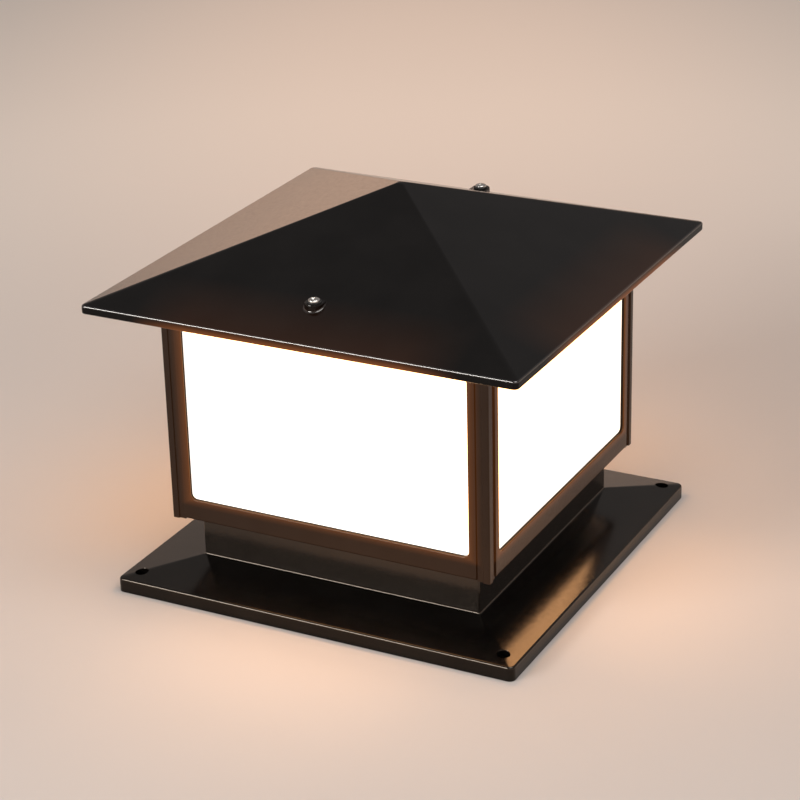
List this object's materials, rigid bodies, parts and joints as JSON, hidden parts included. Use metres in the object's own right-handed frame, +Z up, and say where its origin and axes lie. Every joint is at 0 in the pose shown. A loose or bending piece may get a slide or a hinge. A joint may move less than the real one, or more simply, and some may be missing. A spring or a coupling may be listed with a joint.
{
  "type": "pillar light",
  "caption": "Square outdoor light for the top of a pillar: hipped foot, neck, lantern body with framed opal panes and corner posts, and a lift-off hipped roof over a screw-in bulb.",
  "frame": {"origin": "centre of the square foot, on the plane it stands on", "axes": "+Z up through the peak of the roof; -Y out of the side with the front roof screw, +Y out of the side with the rear one; +X to the right seen from the front"},
  "size_m": [0.3, 0.3, 0.2574],
  "materials": {
    "black_coat": "semi-gloss black powder coat with a fine grain, on aluminium",
    "opal_acrylic": "opal, lit from behind in use",
    "silicone_seal": "matt",
    "bare_aluminium": "mill finish",
    "stainless_steel": "bright",
    "plated_steel": "zinc plated",
    "porcelain": "glazed white",
    "brass": "plain",
    "tinned_copper": "tinned",
    "bulb_opal": "frosted",
    "bulb_housing": "satin white",
    "nickel_plate": "bright",
    "bulb_insulator": "plain",
    "white_polyamide": "matt",
    "black_polyamide": "matt",
    "brown_silicone": "matt",
    "blue_silicone": "matt",
    "green_yellow_silicone": "matt"
  },
  "bodies": {
    "lantern": {"base_casting": "black_coat", "front_left_post": "black_coat", "front_right_post": "black_coat", "rear_left_post": "black_coat", "rear_right_post": "black_coat", "front_frame": "black_coat", "right_frame": "black_coat", "rear_frame": "black_coat", "left_frame": "black_coat", "top_ring": "black_coat", "front_pane": "opal_acrylic", "right_pane": "opal_acrylic", "rear_pane": "opal_acrylic", "left_pane": "opal_acrylic", "front_seal": "silicone_seal", "right_seal": "silicone_seal", "rear_seal": "silicone_seal", "left_seal": "silicone_seal", "neck_gasket": "silicone_seal", "roof_gasket": "silicone_seal", "gland_seal": "silicone_seal", "floor_plate": "bare_aluminium", "floor_screws": "stainless_steel", "lower_post_screws": "stainless_steel", "upper_post_screws": "stainless_steel", "bracket_screws": "stainless_steel", "holder_screws": "stainless_steel", "block_screws": "stainless_steel", "earth_screw": "stainless_steel", "holder_bracket": "plated_steel", "lamp_holder": "porcelain", "holder_shell": "brass", "holder_contact": "brass", "terminal_screws": "brass", "earth_lug": "tinned_copper", "terminal_block": "white_polyamide", "cable_gland": "black_polyamide", "gland_cap": "black_polyamide", "gland_nut": "black_polyamide", "live_lead": "brown_silicone", "neutral_lead": "blue_silicone", "earth_lead": "green_yellow_silicone"},
    "roof": {"roof_cap": "black_coat", "front_washer": "silicone_seal", "rear_washer": "silicone_seal"},
    "front_screw": {"front_roof_screw": "stainless_steel"},
    "rear_screw": {"rear_roof_screw": "stainless_steel"},
    "bulb": {"bulb_globe": "bulb_opal", "bulb_collar": "bulb_housing", "bulb_board": "bare_aluminium", "bulb_cap": "nickel_plate", "bulb_insulator": "bulb_insulator", "bulb_tip": "nickel_plate"}
  },
  "joints": [
    {"name": "roof_lift", "type": "slide", "parent": "lantern", "child": "roof", "axis": [0, 0, 1], "range_m": [0, 0.12]},
    {"name": "front_screw_turn", "type": "hinge", "parent": "roof", "child": "front_screw", "pos_m": [0, -0.1175, 0.21], "axis": [0, 0, 1], "continuous": true},
    {"name": "rear_screw_turn", "type": "hinge", "parent": "roof", "child": "rear_screw", "pos_m": [0, 0.1175, 0.21], "axis": [0, 0, 1], "continuous": true},
    {"name": "bulb_turn", "type": "hinge", "parent": "lantern", "child": "bulb", "pos_m": [0, 0, 0.1], "axis": [0, 0, 1], "continuous": true}
  ]
}
